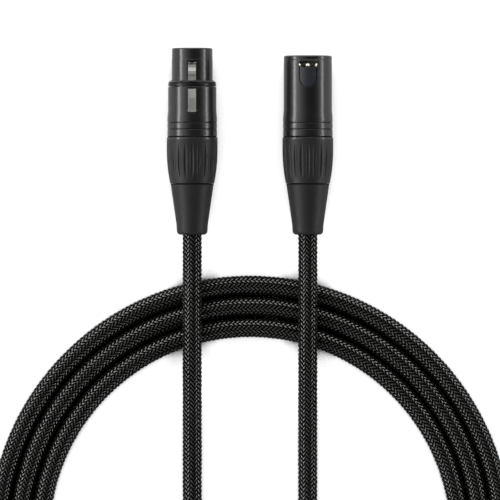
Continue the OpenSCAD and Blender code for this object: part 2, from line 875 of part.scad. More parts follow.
cable_coil();
female_lead();
male_lead();
coil_tie();
female_shell();
female_collar_ring();
female_insert();
female_contact(0);  // female_contact_1
female_contact(1);  // female_contact_2
female_contact(2);  // female_contact_3
female_latch();
female_latch_pin();
female_latch_spring();
female_ground_spring();
color("steelblue") in_female() chuck();  // female_chuck
color("dimgray") in_female() gland_nut();  // female_gland_nut
color("dimgray") in_female() boot();  // female_boot
color("gray") in_female() inner_sheath();  // female_inner_sheath
color("red") in_female() wire(1, conductor_d / 2);  // female_conductor_hot
color("white") in_female() wire(2, conductor_d / 2);  // female_conductor_cold
color("peru") in_female() wire(0, drain_d / 2);  // female_drain_wire
male_shell();
male_window_plate();
male_insert();
male_pin(0);  // male_pin_1
male_pin(1);  // male_pin_2
male_pin(2);  // male_pin_3
male_ground_spring();
color("steelblue") in_male() chuck();  // male_chuck
color("dimgray") in_male() gland_nut();  // male_gland_nut
color("dimgray") in_male() boot();  // male_boot
color("gray") in_male() inner_sheath();  // male_inner_sheath
color("red") in_male() wire(1, conductor_d / 2);  // male_conductor_hot
color("white") in_male() wire(2, conductor_d / 2);  // male_conductor_cold
color("peru") in_male() wire(0, drain_d / 2);  // male_drain_wire
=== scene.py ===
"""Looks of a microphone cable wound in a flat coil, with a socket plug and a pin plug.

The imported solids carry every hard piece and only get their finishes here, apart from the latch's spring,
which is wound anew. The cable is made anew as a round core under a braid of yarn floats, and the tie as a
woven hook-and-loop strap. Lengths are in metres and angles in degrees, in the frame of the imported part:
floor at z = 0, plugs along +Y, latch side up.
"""

import logging
import math
from dataclasses import dataclass, field
from enum import Enum

import bpy
import numpy as np
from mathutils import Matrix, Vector

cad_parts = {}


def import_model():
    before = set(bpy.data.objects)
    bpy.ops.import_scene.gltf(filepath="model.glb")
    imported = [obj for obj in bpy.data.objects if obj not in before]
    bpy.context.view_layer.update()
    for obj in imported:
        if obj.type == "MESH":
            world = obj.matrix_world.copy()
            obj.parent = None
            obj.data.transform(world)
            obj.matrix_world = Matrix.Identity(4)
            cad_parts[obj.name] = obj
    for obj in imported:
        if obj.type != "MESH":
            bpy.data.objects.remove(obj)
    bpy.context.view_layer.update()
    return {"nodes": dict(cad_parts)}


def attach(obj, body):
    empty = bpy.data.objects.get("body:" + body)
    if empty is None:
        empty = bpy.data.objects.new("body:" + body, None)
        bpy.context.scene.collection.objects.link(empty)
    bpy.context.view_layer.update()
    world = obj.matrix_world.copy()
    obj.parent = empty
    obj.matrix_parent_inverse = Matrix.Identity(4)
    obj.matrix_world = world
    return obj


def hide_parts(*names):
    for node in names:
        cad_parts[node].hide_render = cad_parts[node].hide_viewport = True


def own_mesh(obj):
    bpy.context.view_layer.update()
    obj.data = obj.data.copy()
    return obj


log = logging.getLogger("cable")

Point = tuple[float, float, float]
Colour = tuple[float, float, float]
Span = tuple[float, float]
Socket = bpy.types.NodeSocket
Value = Socket | float | Colour

IMAGE_SIDE = 500  # pixels, both ways
BAKE_MAP = "OFBake"
YARN_MAP = "Yarn"
TONE = "tone"
ACROSS = "across"
WHOLE: Span = (0.0, 1.0)
PATTERN: Span = (0.3, 0.7)  # where most of a noise pattern's values lie
PATCHES = 0.006  # size of the worn patches of a hard finish
SMEARS = 0.0015  # size of its more and less glossy places
GRAIN_DEPTH = 0.00003
MARK_SIZE = 0.00015
MARK_DEPTH = 0.00002
MARK_STRENGTH = 0.25
RIM_BLUR = 0.0001


def grey(level: float) -> Colour:
    """A grey of one level."""
    return (level, level, level)


class Mark(Enum):
    """Fine marks that a finish carries, by how they are stretched along X, Y and Z."""

    NONE = (1.0, 1.0, 1.0)
    TURNED = (0.05, 1.0, 0.05)
    DRAWN = (1.0, 0.02, 1.0)


class Section(Enum):
    """Stretches of the cable, each of which carries its own piece of braid."""

    SOCKET_LEAD = "socket_lead"
    INNER_TURN = "inner_turn"
    MIDDLE_TURN = "middle_turn"
    OUTER_TURN = "outer_turn"
    PIN_LEAD = "pin_lead"


class Tree:
    """A node tree, with short calls to add nodes and join them."""

    def __init__(self, tree: bpy.types.NodeTree) -> None:
        """Empties the node tree of a material or a world."""
        self.tree = tree
        self.tree.nodes.clear()

    def add(self, kind: str, **settings: object) -> bpy.types.Node:
        """Adds a node and sets its plain properties.

        Args:
            kind: Blender's name of the node type.
            **settings: Properties of the node.

        Returns:
            The new node.
        """
        node = self.tree.nodes.new(kind)
        for key, value in settings.items():
            setattr(node, key, value)
        return node

    def put(self, value: Value, target: Socket) -> None:
        """Links a socket to an input, or sets a plain value on it.

        Args:
            value: An output socket, a number, a vector or a colour.
            target: The input.
        """
        if isinstance(value, Socket):
            self.tree.links.new(value, target)
        elif target.type == "RGBA":
            target.default_value = (*value, 1.0)
        else:
            target.default_value = value

    def scale(self, value: Socket, source: Span, result: tuple[Value, Value], **settings: object) -> Socket:
        """Maps one range of values onto another and stops at its ends.

        Args:
            value: The value to map.
            source: Range that it is read in.
            result: Range that it becomes.
            **settings: Properties of the node.

        Returns:
            A value socket.
        """
        node = self.add("ShaderNodeMapRange", **settings)
        names = ("Value", "From Min", "From Max", "To Min", "To Max")
        for name, given in zip(names, (value, *source, *result)):
            self.put(given, node.inputs[name])
        return node.outputs["Result"]

    def reckon(self, operation: str, first: Value, second: Value, **settings: object) -> Socket:
        """Joins two values by a sum, a product or the like.

        Args:
            operation: Blender's name of it.
            first: First value.
            second: Second value.
            **settings: Properties of the node.

        Returns:
            A value socket.
        """
        node = self.add("ShaderNodeMath", operation=operation, **settings)
        self.put(first, node.inputs[0])
        self.put(second, node.inputs[1])
        return node.outputs[0]

    def mix(self, share: Socket, first: Value, second: Value) -> Socket:
        """Mixes two colours.

        Args:
            share: Share of the second.
            first: Colour at a share of 0.
            second: Colour at a share of 1.

        Returns:
            A colour socket.
        """
        node = self.add("ShaderNodeMixRGB")
        for name, given in (("Fac", share), ("Color1", first), ("Color2", second)):
            self.put(given, node.inputs[name])
        return node.outputs["Color"]

    def part(self, vector: Socket, axis: str) -> Socket:
        """Takes one coordinate, such as "Y", from a vector."""
        node = self.add("ShaderNodeSeparateXYZ")
        self.put(vector, node.inputs["Vector"])
        return node.outputs[axis]


class Graph(Tree):
    """A material's node tree, with short calls for what its finishes are made of."""

    def __init__(self, name: str) -> None:
        """Starts a material with one Principled shader.

        Args:
            name: Name of the material.
        """
        self.material = bpy.data.materials.new(name)
        self.material.use_nodes = True
        super().__init__(self.material.node_tree)
        self.output = self.add("ShaderNodeOutputMaterial")
        self.shader = self.add("ShaderNodeBsdfPrincipled")
        self.put(self.shader.outputs[0], self.output.inputs["Surface"])

    def set(self, name: str, value: Value) -> None:
        """Gives one of the shader's inputs its value."""
        self.put(value, self.shader.inputs[name])

    def place(self, stretch: Point = (1.0, 1.0, 1.0)) -> Socket:
        """Gives the surface point in the part's frame, stretched along X, Y and Z."""
        return self.stretch(self.add("ShaderNodeTexCoord").outputs["Object"], stretch)

    def stretch(self, vector: Socket, factors: Point) -> Socket:
        """Stretches a vector.

        Args:
            vector: The vector.
            factors: Factors along X, Y and Z.

        Returns:
            A vector socket.
        """
        mapping = self.add("ShaderNodeMapping")
        self.put(factors, mapping.inputs["Scale"])
        self.put(vector, mapping.inputs["Vector"])
        return mapping.outputs["Vector"]

    def attribute(self, name: str) -> Socket:
        """Reads a number that the mesh carries."""
        return self.add("ShaderNodeAttribute", attribute_name=name).outputs["Fac"]

    def noise(self, vector: Socket, size: float, detail: float = 3.0) -> Socket:
        """Adds a noise pattern.

        Args:
            vector: Where the pattern is read.
            size: Size of its grains in metres.
            detail: Number of finer layers.

        Returns:
            A value socket, about 0 to 1.
        """
        node = self.add("ShaderNodeTexNoise")
        self.put(1.0 / size, node.inputs["Scale"])
        self.put(detail, node.inputs["Detail"])
        self.put(vector, node.inputs["Vector"])
        return node.outputs["Fac"]

    def blend(self, value: Socket, first: Colour, second: Colour) -> Socket:
        """Mixes two colours by a pattern.

        Args:
            value: The pattern.
            first: Colour where the pattern is low.
            second: Colour where it is high.

        Returns:
            A colour socket.
        """
        ramp = self.add("ShaderNodeValToRGB")
        for element, position, colour in zip(ramp.color_ramp.elements, PATTERN, (first, second)):
            element.position = position
            element.color = (*colour, 1.0)
        self.put(value, ramp.inputs["Fac"])
        return ramp.outputs["Color"]

    def bump(self, height: Socket, depth: float, strength: float, below: Socket | None = None) -> Socket:
        """Turns a pattern into relief.

        Args:
            height: The pattern.
            depth: Depth of the relief in metres.
            strength: Share of the relief that shows.
            below: Relief that this one lies on.

        Returns:
            A normal socket.
        """
        node = self.add("ShaderNodeBump")
        self.put(strength, node.inputs["Strength"])
        self.put(depth, node.inputs["Distance"])
        self.put(height, node.inputs["Height"])
        if below is not None:
            self.put(below, node.inputs["Normal"])
        return node.outputs["Normal"]


@dataclass(frozen=True)
class Finish:
    """A hard finish: colour, gloss, fine grain, the marks of its making and how its front rim differs, with
    painted shade in the seam there.
    """

    name: str
    colour: Colour
    worn: Colour
    metal: float = 0.0
    gloss: Span = (0.3, 0.4)
    level: float = 0.5
    grain: float = 0.0002
    relief: float = 0.1
    mark: Mark = Mark.NONE
    rounding: float = 0.0
    # From this Y forward the colour is painted black, as shade in the seam.
    seam_shade_y: float | None = None
    polish_y: float | None = None
    polish: float = 0.6
    polish_gloss: float = 0.2

    def make(self) -> bpy.types.Material:
        """Builds the material.

        Returns:
            The material.
        """
        graph = Graph(self.name)
        place = graph.place()
        colour = graph.blend(graph.noise(place, PATCHES), self.colour, self.worn)
        rough = graph.scale(graph.noise(place, SMEARS, detail=4.0), PATTERN, self.gloss)
        # Painted shade: in front of the seam the colour goes to black and the gloss goes, standing in for
        # the shadow in the gap between parts.
        if self.seam_shade_y is not None:
            seam_shade = self._past(graph, place, self.seam_shade_y)
            colour = graph.mix(seam_shade, colour, grey(0.0))
            rough = graph.scale(seam_shade, WHOLE, (rough, 1.0))
            if self.polish_y is not None:
                ring = graph.scale(self._past(graph, place, self.polish_y), WHOLE, (0.0, self.polish))
                graph.set("Coat Weight", graph.reckon("SUBTRACT", ring, seam_shade, use_clamp=True))
                graph.set("Coat Roughness", self.polish_gloss)
        graph.set("Base Color", colour)
        graph.set("Roughness", rough)
        graph.set("Metallic", self.metal)
        graph.set("Specular IOR Level", self.level)
        graph.set("Normal", self._relief(graph, place))
        return graph.material

    def _past(self, graph: Graph, place: Socket, y: float) -> Socket:
        """Gives 1 where the surface is in front of a place along Y and 0 behind it."""
        return graph.scale(graph.part(place, "Y"), (y - RIM_BLUR, y), WHOLE)

    def _relief(self, graph: Graph, place: Socket) -> Socket:
        """Rounds the edges and adds the grain and the marks.

        Args:
            graph: The material's node tree.
            place: The surface point.

        Returns:
            A normal socket.
        """
        below = None
        if self.rounding > 0:
            edge = graph.add("ShaderNodeBevel", samples=4)
            graph.put(self.rounding, edge.inputs["Radius"])
            below = edge.outputs["Normal"]
        relief = graph.bump(graph.noise(place, self.grain, detail=2.0), GRAIN_DEPTH, self.relief, below)
        if self.mark is not Mark.NONE:
            lines = graph.noise(graph.place(self.mark.value), MARK_SIZE, detail=2.0)
            relief = graph.bump(lines, MARK_DEPTH, MARK_STRENGTH, relief)
        return relief


LACQUER = Finish(
    "glossy_black",
    grey(0.0045),
    grey(0.006),
    gloss=(0.225, 0.25),
    grain=0.0004,
    relief=0.012,
    rounding=0.00012,
)
RING = Finish(
    "ring_black",
    grey(0.003),
    grey(0.004),
    gloss=(0.26, 0.32),
    level=0.25,
    relief=0.05,
    rounding=0.0001,
)
PLATE = Finish(
    "bare_plate",
    (0.010, 0.012, 0.016),
    (0.014, 0.017, 0.022),
    gloss=(0.2, 0.26),
    level=0.7,
    grain=0.0004,
    relief=0.012,
    rounding=0.00005,
)
MOULDED = Finish(
    "moulded_black",
    grey(0.014),
    grey(0.02),
    gloss=(0.45, 0.55),
    relief=0.25,
)
NUT = Finish(
    "nut_grey",
    (0.0065, 0.0065, 0.007),
    (0.0085, 0.0085, 0.009),
    gloss=(0.42, 0.48),
    level=0.23,
    grain=0.00018,
    relief=0.12,
    rounding=0.00015,
    # Painted shade in the seam against the shell, in front of this Y.
    seam_shade_y=0.00152,
    polish_y=0.0009,
)
BOOT = Finish(
    "boot_grey",
    (0.005, 0.005, 0.0054),
    (0.0062, 0.0062, 0.0066),
    gloss=(0.48, 0.54),
    level=0.24,
    grain=0.00022,
    relief=0.12,
    rounding=0.0002,
    # Painted shade in the seam against the nut, in front of this Y.
    seam_shade_y=-0.01705,
)
CHUCK = Finish(
    "chuck_nylon",
    (0.10, 0.12, 0.16),
    (0.13, 0.15, 0.19),
    gloss=(0.4, 0.5),
    relief=0.15,
)
CONTACT = Finish(
    "pale_plating",
    (0.44, 0.42, 0.34),
    (0.52, 0.5, 0.41),
    metal=1.0,
    gloss=(0.24, 0.32),
    relief=0.04,
    mark=Mark.TURNED,
)
SATIN = Finish(
    "satin_metal",
    (0.165, 0.171, 0.158),
    (0.205, 0.211, 0.196),
    metal=0.2,
    gloss=(0.42, 0.52),
    relief=0.1,
    mark=Mark.TURNED,
    rounding=0.00012,
)
SPRING = Finish(
    "spring_steel",
    (0.5, 0.5, 0.49),
    (0.6, 0.6, 0.58),
    metal=1.0,
    gloss=(0.22, 0.32),
    relief=0.05,
    mark=Mark.DRAWN,
)
SHEATH = Finish("sheath_black", grey(0.02), grey(0.026), gloss=(0.4, 0.5))
RED = Finish("red_insulation", (0.45, 0.02, 0.016), (0.52, 0.03, 0.02), gloss=(0.3, 0.4))
WHITE = Finish("white_insulation", (0.72, 0.72, 0.69), (0.78, 0.78, 0.75), gloss=(0.3, 0.4))
COPPER = Finish(
    "copper_strands",
    (0.70, 0.36, 0.22),
    (0.80, 0.45, 0.30),
    metal=1.0,
    gloss=(0.28, 0.4),
    mark=Mark.DRAWN,
)


@dataclass(frozen=True)
class YarnFinish:
    """Finish of the braid's floats: glossy along the crest only, painted near black on their flanks and
    ends as shade, with fine filaments and varied tones.
    """

    name: str = "black_yarn"
    dark: Colour = (0.017, 0.017, 0.0145)
    light: Colour = (0.034, 0.0335, 0.028)
    shade: Colour = grey(0.001)
    crest_w: float = 0.7
    coat_ior: float = 1.79
    roughness: float = 0.21
    filaments: Point = (0.8, 9.0, 1.0)
    depth: float = 0.00006
    strength: float = 0.6

    def make(self) -> bpy.types.Material:
        """Builds the material.

        Returns:
            The material.
        """
        graph = Graph(self.name)
        across = graph.attribute(ACROSS)
        crest = graph.scale(across, (0.0, self.crest_w), (1.0, 0.0), interpolation_type="SMOOTHSTEP")
        yarn_colour = graph.blend(graph.attribute(TONE), self.dark, self.light)
        # Painted shade: away from the crest, and towards the float's ends, the colour goes to near black,
        # standing in for the shadow between floats.
        graph.set("Base Color", graph.mix(crest, self.shade, yarn_colour))
        graph.set("Coat Weight", crest)
        graph.set("Coat IOR", self.coat_ior)
        graph.set("Coat Roughness", self.roughness)
        graph.set("Specular IOR Level", 0.0)
        graph.set("Roughness", self.roughness)
        yarn = graph.add("ShaderNodeUVMap", uv_map=YARN_MAP).outputs["UV"]
        lines = graph.noise(graph.stretch(yarn, self.filaments), 1.0, detail=2.0)
        relief = graph.bump(lines, self.depth, self.strength)
        graph.set("Normal", relief)
        graph.set("Coat Normal", relief)
        return graph.material


@dataclass(frozen=True)
class StrapFinish:
    """Finish of the tie: a matte woven ground with a short pile of loops."""

    name: str = "hook_and_loop_black"
    dark: Colour = grey(0.010)
    light: Colour = grey(0.028)
    gloss: Span = (0.75, 0.9)
    sheen: float = 0.25
    sheen_gloss: float = 0.4
    loops: float = 0.0004
    loop_depth: float = 0.0002
    patches: float = 0.003
    ribs: float = 320.0
    rib_depth: float = 0.0001
    rib_strength: float = 0.35
    waver: float = 1.5
    loop_strength: float = 0.8

    def make(self) -> bpy.types.Material:
        """Builds the material.

        Returns:
            The material.
        """
        graph = Graph(self.name)
        place = graph.place()
        pile = graph.noise(place, self.loops, detail=4.0)
        weave = graph.add("ShaderNodeTexWave", wave_type="BANDS", bands_direction="X")
        graph.put(self.ribs, weave.inputs["Scale"])
        graph.put(self.waver, weave.inputs["Distortion"])
        graph.put(place, weave.inputs["Vector"])
        ribs = graph.bump(weave.outputs["Fac"], self.rib_depth, self.rib_strength)
        graph.set("Base Color", graph.blend(pile, self.dark, self.light))
        graph.set("Roughness", graph.scale(graph.noise(place, self.patches), PATTERN, self.gloss))
        graph.set("Sheen Weight", self.sheen)
        graph.set("Sheen Roughness", self.sheen_gloss)
        graph.set("Normal", graph.bump(pile, self.loop_depth, self.loop_strength, ribs))
        return graph.material


def mesh_object(name: str, points: np.ndarray, faces: np.ndarray) -> bpy.types.Object:
    """Makes a smooth mesh object of four-sided faces.

    Args:
        name: Name of the object.
        points: Places, with a last axis of three.
        faces: Indices, with a last axis of four.

    Returns:
        The object, linked to the scene.
    """
    mesh = bpy.data.meshes.new(name)
    mesh.vertices.add(points.size // 3)
    mesh.vertices.foreach_set("co", np.ascontiguousarray(points, np.float32).ravel())
    mesh.loops.add(faces.size)
    mesh.loops.foreach_set("vertex_index", np.ascontiguousarray(faces, np.int32).ravel())
    mesh.polygons.add(faces.size // 4)
    mesh.polygons.foreach_set("loop_start", np.arange(0, faces.size, 4, dtype=np.int32))
    mesh.polygons.foreach_set("use_smooth", np.ones(faces.size // 4, bool))
    mesh.update(calc_edges=True)
    mesh.validate()
    piece = bpy.data.objects.new(name, mesh)
    bpy.context.scene.collection.objects.link(piece)
    return piece


def tube_faces(rows: int, sides: int, closed: bool = False) -> np.ndarray:
    """Joins rows of points that each go round a tube.

    Args:
        rows: Number of rows.
        sides: Number of points in a row.
        closed: Whether the last row joins the first.

    Returns:
        N x 4 indices.
    """
    i, k = np.meshgrid(np.arange(rows if closed else rows - 1), np.arange(sides), indexing="ij")
    here, there, after = i * sides, (i + 1) % rows * sides, (k + 1) % sides
    return np.stack([here + k, here + after, there + after, there + k], axis=-1).reshape(-1, 4)


def add_map(piece: bpy.types.Object, name: str, per_vertex: np.ndarray) -> None:
    """Gives a mesh a UV map whose coordinates belong to its vertices.

    Args:
        piece: The mesh object.
        name: Name of the map.
        per_vertex: N x 2 coordinates.
    """
    mesh = piece.data
    layer = mesh.uv_layers.new(name=name)
    owners = np.empty(len(mesh.loops), np.int32)
    mesh.loops.foreach_get("vertex_index", owners)
    layer.uv.foreach_set("vector", np.ascontiguousarray(per_vertex[owners], np.float32).ravel())


def paint(piece: bpy.types.Object, material: bpy.types.Material) -> None:
    """Gives a piece one material in place of whatever it had, and reports the two."""
    piece.data.materials.clear()
    piece.data.materials.append(material)
    log.info("%s: %s", piece.name, material.name)


def smoothstep(value: np.ndarray) -> np.ndarray:
    """Eases 0 to 1 with level ends."""
    t = np.clip(value, 0.0, 1.0)
    return t * t * (3.0 - 2.0 * t)


def distances(line: np.ndarray) -> np.ndarray:
    """Distance of each of a line's points from its start, along the line."""
    return np.concatenate([[0.0], np.cumsum(np.linalg.norm(np.diff(line, axis=0), axis=1))])


def resample(places: np.ndarray, along: np.ndarray, rows: np.ndarray) -> np.ndarray:
    """Reads rows of three numbers at places between them.

    Args:
        places: Distances to read at.
        along: Distances of the rows.
        rows: N x 3 numbers.

    Returns:
        M x 3 numbers.
    """
    return np.stack([np.interp(places, along, rows[:, k]) for k in range(3)], axis=1)


@dataclass
class Route:
    """The middle line of the cable, from the socket plug through the coil to the pin plug."""

    plug_x: float = 0.02275
    cord_r: float = 0.0037
    low_z: float = 0.003
    low_reach: float = 0.005
    floor_cut: float = 0.00074
    coil_y: float = -0.156
    coil_r: float = 0.08275
    pitch: float = 0.00835
    start: float = 190.0
    sweep: float = 900.0
    entry: float = 20.0
    entry_depth: float = 0.0025
    tie_angle: float = -90.0
    tie_rise: float = 0.0015
    tie_spread: float = 40.0
    join_step: int = 6
    curve_steps: int = 12
    soft_reach: int = 5
    step: float = 0.001
    over: tuple[Span, ...] = (
        (-0.008, 0.010),
        (-0.020, 0.010),
        (-0.036, 0.010),
        (-0.044, 0.010),
        (-0.050, 0.0103),
        (-0.056, 0.011),
        (-0.062, 0.0115),
        (-0.068, 0.0115),
        (-0.076, 0.0115),
        (-0.084, 0.0108),
        (-0.092, 0.0093),
        (-0.099, 0.0076),
        (-0.106, 0.0059),
        (-0.114, 0.0043),
        (-0.122, 0.0032),
        (-0.140, 0.003),
    )
    socket_side: tuple[Point, ...] = (
        (-0.0223, -0.151, 0.003),
        (-0.0193, -0.160, 0.003),
        (-0.0164, -0.1693, 0.003),
        (-0.0163, -0.179, 0.003),
        (-0.0195, -0.1883, 0.003),
        (-0.0255, -0.196, 0.003),
        (-0.0338, -0.2014, 0.003),
        (-0.0433, -0.2038, 0.003),
        (-0.0531, -0.203, 0.003),
        (-0.0621, -0.1991, 0.003),
        (-0.0693, -0.1925, 0.003),
    )
    pin_side: tuple[Point, ...] = (
        (0.02275, -0.160, 0.003),
        (0.024, -0.170, 0.003),
        (0.0275, -0.179, 0.0033),
        (0.0335, -0.187, 0.0042),
        (0.0415, -0.1935, 0.0059),
        (0.0495, -0.1973, 0.0079),
        (0.058, -0.1992, 0.0098),
        (0.0665, -0.1992, 0.011),
        (0.075, -0.1973, 0.0114),
        (0.083, -0.1935, 0.0113),
        (0.0905, -0.1875, 0.0104),
        (0.0963, -0.1795, 0.0086),
        (0.0998, -0.1705, 0.0062),
        (0.1011, -0.1615, 0.004),
    )
    line: np.ndarray = field(default_factory=lambda: np.zeros((0, 3)))
    marks: dict[Section, float] = field(default_factory=dict)
    along: np.ndarray = field(default_factory=lambda: np.zeros(0))
    side: np.ndarray = field(default_factory=lambda: np.zeros((0, 3)))
    up: np.ndarray = field(default_factory=lambda: np.zeros((0, 3)))

    def radius(self, angle: np.ndarray) -> np.ndarray:
        """Distance of the coil's middle line from its centre.

        Args:
            angle: Angles in degrees, clockwise as they fall.

        Returns:
            Radii in metres.
        """
        lap = np.maximum(0.0, -angle / 360.0)
        out = np.floor(lap) + smoothstep(2.0 * (lap - np.floor(lap)))
        come_in = np.maximum(0.0, (angle - self.start + self.entry) / self.entry)
        return self.coil_r + self.pitch * out - self.entry_depth * come_in**2

    def coil(self, angle: np.ndarray) -> np.ndarray:
        """Points of the coil.

        Args:
            angle: Angles in degrees.

        Returns:
            N x 3 points on a cable that lies on the floor.
        """
        away = np.abs((angle - self.tie_angle + 180.0) % 360.0 - 180.0)
        lift = np.cos(np.radians(90.0 * np.minimum(1.0, away / self.tie_spread))) ** 2
        turn = np.radians(angle)
        r = self.radius(angle)
        height = self.cord_r + self.tie_rise * lift
        return np.stack([r * np.cos(turn), self.coil_y + r * np.sin(turn), height], axis=1)

    def lead(self, side: float, rest: tuple[Point, ...]) -> np.ndarray:
        """Points of a lead, lifted so that the round cable lies on the floor.

        Args:
            side: Sign of the plug's X.
            rest: The points after the stretch over the turns.

        Returns:
            N x 3 points from the plug to the coil.
        """
        points = [(side * self.plug_x, y, z) for y, z in self.over] + list(rest)
        line = np.array(points)
        height = smoothstep((line[:, 2] - self.low_z) / self.low_reach)
        line[:, 2] += self.floor_cut * (1.0 - height)
        return line

    def curve(self, points: np.ndarray) -> np.ndarray:
        """Runs a smooth curve through points.

        Args:
            points: N x 3 points.

        Returns:
            Many points of a Catmull-Rom curve through them.
        """
        ends = np.vstack([2 * points[0] - points[1], points, 2 * points[-1] - points[-2]])
        gaps = np.sqrt(np.linalg.norm(np.diff(ends, axis=0), axis=1))
        knots = np.concatenate([[0.0], np.cumsum(gaps)])
        parts = []
        for i in range(1, len(ends) - 2):
            t0, t1, t2, t3 = knots[i - 1 : i + 3]
            t = np.linspace(t1, t2, self.curve_steps, endpoint=False)[:, None]
            p0, p1, p2, p3 = ends[i - 1 : i + 3]
            a1 = (t1 - t) / (t1 - t0) * p0 + (t - t0) / (t1 - t0) * p1
            a2 = (t2 - t) / (t2 - t1) * p1 + (t - t1) / (t2 - t1) * p2
            a3 = (t3 - t) / (t3 - t2) * p2 + (t - t2) / (t3 - t2) * p3
            b1 = (t2 - t) / (t2 - t0) * a1 + (t - t0) / (t2 - t0) * a2
            b2 = (t3 - t) / (t3 - t1) * a2 + (t - t1) / (t3 - t1) * a3
            parts.append((t2 - t) / (t2 - t1) * b1 + (t - t1) / (t2 - t1) * b2)
        return np.vstack([*parts, points[-1:]])

    def build(self) -> None:
        """Lays the middle line at an even spacing and notes where each stretch ends."""
        socket = self.lead(-1.0, self.socket_side)
        pin = self.lead(1.0, self.pin_side)[::-1]
        coil = self.coil(self.start - np.arange(0.0, self.sweep + 0.5, 1.0))
        before = self.curve(np.vstack([socket, coil[:1], coil[self.join_step][None]]))
        after = self.curve(np.vstack([coil[-1 - self.join_step][None], coil[-1:], pin]))
        cut_in = int(np.argmin(np.linalg.norm(before - coil[0], axis=1)))
        cut_out = int(np.argmin(np.linalg.norm(after - coil[-1], axis=1)))
        whole = np.vstack([before[:cut_in], coil, after[cut_out + 1 :]])
        along = distances(whole)
        even = np.linspace(0.0, along[-1], int(round(along[-1] / self.step)) + 1)
        self.line = self.soften(resample(even, along, whole))
        ends = (0, 360, 2 * 360, int(self.sweep))
        self.marks = {section: float(along[cut_in + angle]) for section, angle in zip(Section, ends)}
        self.marks[Section.PIN_LEAD] = float(along[-1])
        self.along = distances(self.line)
        self._lay_frames()

    def soften(self, line: np.ndarray) -> np.ndarray:
        """Takes small kinks out of an evenly spaced line and keeps its ends.

        Args:
            line: N x 3 points.

        Returns:
            N x 3 points.
        """
        reach = self.soft_reach
        weight = np.exp(-0.5 * (np.arange(-reach, reach + 1) / (0.5 * reach)) ** 2)
        weight /= weight.sum()
        padded = np.vstack([np.repeat(line[:1], reach, 0), line, np.repeat(line[-1:], reach, 0)])
        soft = np.stack([np.convolve(padded[:, k], weight, "valid") for k in range(3)], axis=1)
        soft[: reach + 1] = line[: reach + 1]
        soft[-reach - 1 :] = line[-reach - 1 :]
        return soft

    def length(self) -> float:
        """Length of the middle line in metres."""
        return float(self.along[-1])

    def _lay_frames(self) -> None:
        """Finds two directions square to the line, which turn along it as little as they can."""
        ahead = np.gradient(self.line, axis=0)
        ahead /= np.linalg.norm(ahead, axis=1)[:, None]
        side = np.empty_like(self.line)
        first = np.cross(ahead[0], (0.0, 0.0, 1.0))
        side[0] = first / np.linalg.norm(first)
        for i in range(1, len(side)):
            now = side[i - 1] - ahead[i] * np.dot(side[i - 1], ahead[i])
            side[i] = now / np.linalg.norm(now)
        self.side, self.up = side, np.cross(side, ahead)

    def surface(self, along: np.ndarray, angle: np.ndarray, radius: np.ndarray) -> np.ndarray:
        """Places points round the line.

        Args:
            along: Distances along the line.
            angle: Angles round it in radians.
            radius: Distances from it.

        Returns:
            Points, with a last axis of three.
        """
        flat = along.ravel()
        middle, across, above = (resample(flat, self.along, row) for row in (self.line, self.side, self.up))
        r, a = radius.ravel()[:, None], angle.ravel()[:, None]
        points = middle + r * (np.cos(a) * across + np.sin(a) * above)
        return points.reshape(*along.shape, 3)


